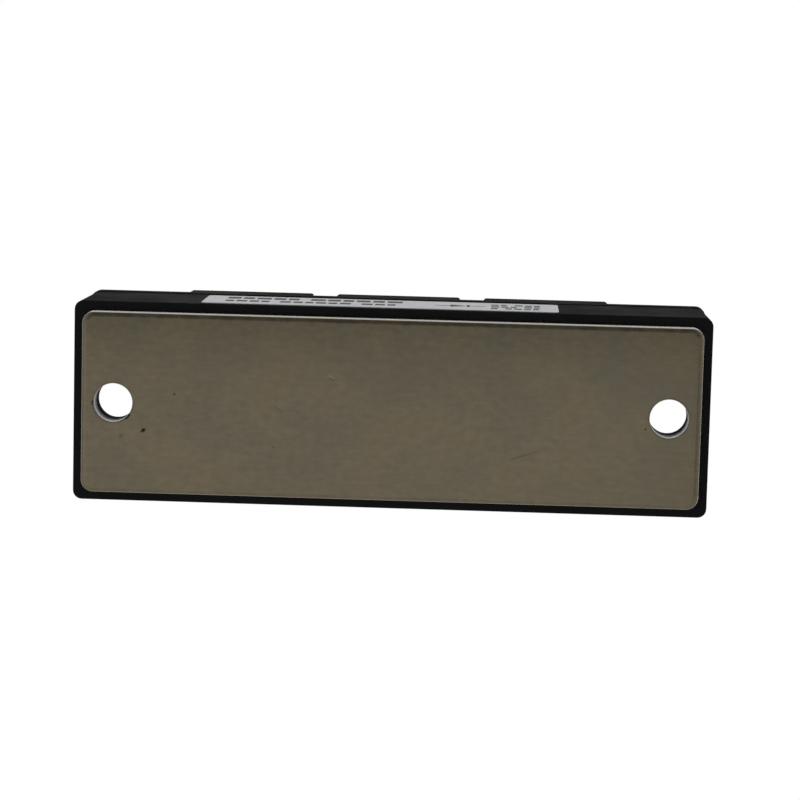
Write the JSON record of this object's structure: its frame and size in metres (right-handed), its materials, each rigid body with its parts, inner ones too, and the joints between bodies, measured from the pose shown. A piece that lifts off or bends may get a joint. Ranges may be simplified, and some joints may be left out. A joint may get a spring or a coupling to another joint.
{
  "type": "bridge rectifier module",
  "caption": "Potted power rectifier: a black moulded case on a nickel-plated base plate, with raised terminal blocks, screw terminals and end wells for mounting screws.",
  "frame": {"origin": "middle of the base plate's underside", "axes": "+X along the module's length, +Z from the base plate to the screw terminals, the label on the -Y side"},
  "size_m": [0.108, 0.0341, 0.0364],
  "materials": {
    "plate_nickel": "dull nickel plating on stamped copper",
    "seal_silicone": "cured silicone adhesive",
    "case_plastic": "black moulded thermoplastic with a fine spark texture",
    "molybdenum": "lapped",
    "silicon": "metallised wafer",
    "terminal_nickel": "nickel-plated copper strap",
    "zinc_steel": "bright zinc plating",
    "gel_silicone": "soft clear gel",
    "epoxy_resin": "cast black resin",
    "label_film": "satin silver-white film"
  },
  "bodies": {
    "root": {"base_plate": "plate_nickel", "plate_seal": "seal_silicone", "case_frame": "case_plastic", "lid": "case_plastic", "lower_disc_1": "molybdenum", "lower_disc_2": "molybdenum", "lower_disc_3": "molybdenum", "diode_chip_1": "silicon", "diode_chip_2": "silicon", "diode_chip_3": "silicon", "upper_disc_1": "molybdenum", "upper_disc_2": "molybdenum", "upper_disc_3": "molybdenum", "terminal_1": "terminal_nickel", "terminal_2": "terminal_nickel", "terminal_3": "terminal_nickel", "terminal_nuts": "zinc_steel", "flat_washers": "zinc_steel", "spring_washers": "zinc_steel", "terminal_screws": "zinc_steel", "silicone_gel": "gel_silicone", "sealing_resin": "epoxy_resin", "rating_label": "label_film"}
  },
  "joints": []
}
